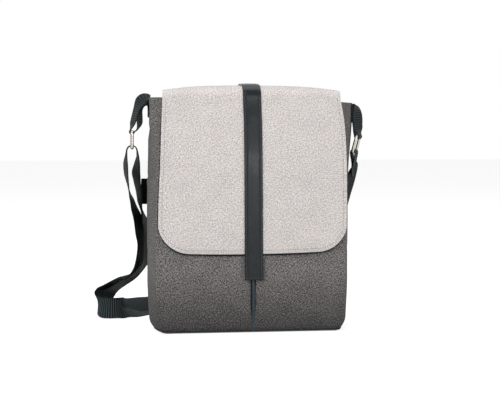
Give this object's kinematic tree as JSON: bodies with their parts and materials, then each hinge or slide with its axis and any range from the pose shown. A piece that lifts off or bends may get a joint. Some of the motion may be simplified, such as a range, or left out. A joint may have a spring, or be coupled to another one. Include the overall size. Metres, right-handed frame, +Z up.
{
  "type": "trapeze bag",
  "caption": "Upright soft shoulder bag with spread gusset tips, a full-width front flap, a leather strip with a snap and a webbing strap on two rings.",
  "frame": {"origin": "middle of the base, on the surface that the bag stands on", "axes": "+Z up, the flap's side faces -Y, +X to the right as seen from the front"},
  "size_m": [0.3387, 0.2094, 0.3006],
  "materials": {
    "body_fabric": "dark warm grey melange weave, matt",
    "flap_fabric": "light warm grey melange weave, matt",
    "lining_fabric": "dark plain lining, matt",
    "leather": "smooth dark leather, satin",
    "webbing": "ribbed webbing, slight sheen",
    "label": "blank woven label, matt",
    "nickel": "bright nickel plate",
    "board": "stiffening board, hidden in the bag"
  },
  "bodies": {
    "bag": {"front_panel_left": "body_fabric", "front_panel_right": "body_fabric", "centre_piping": "leather", "back_panel": "body_fabric", "gusset_left": "body_fabric", "gusset_right": "body_fabric", "base_panel": "leather", "base_board": "board", "lining": "lining_fabric", "side_label": "label", "tab_left": "webbing", "tab_right": "webbing", "snap_socket": "nickel", "snap_washer": "nickel", "flap_hem": "flap_fabric", "strip_hem": "leather", "shoulder_strap": "webbing"},
    "flap_top": {"flap_face_top": "flap_fabric", "flap_lining_top": "lining_fabric", "strip_top": "leather"},
    "flap_front": {"flap_face_front": "flap_fabric", "flap_lining_front": "lining_fabric", "strip_front": "leather", "snap_stud": "nickel"},
    "ring_left": {"ring_left": "nickel"},
    "ring_right": {"ring_right": "nickel"},
    "slider": {"strap_slider": "nickel"}
  },
  "joints": [
    {"name": "flap_hinge", "type": "hinge", "parent": "bag", "child": "flap_top", "pos_m": [0, 0.0366, 0.281], "axis": [-1, 0, 0], "range_deg": [0, 180]},
    {"name": "flap_fold", "type": "hinge", "parent": "flap_top", "child": "flap_front", "pos_m": [0, -0.0366, 0.281], "axis": [-1, 0, 0], "range_deg": [0, 90]},
    {"name": "ring_left_swing", "type": "hinge", "parent": "bag", "child": "ring_left", "pos_m": [-0.14243, 0, 0.2415], "axis": [0, 1, 0], "range_deg": [-45, 70], "deforming": ["shoulder_strap"]},
    {"name": "ring_right_swing", "type": "hinge", "parent": "bag", "child": "ring_right", "pos_m": [0.13813, -0.00233, 0.2355], "axis": [0.342, 0.9397, 0], "range_deg": [-75, 5], "deforming": ["shoulder_strap"]},
    {"name": "slider_slide", "type": "slide", "parent": "bag", "child": "slider", "axis": [1, 0, 0], "range_m": [-0.04, 0.04], "deforming": ["shoulder_strap"]}
  ]
}
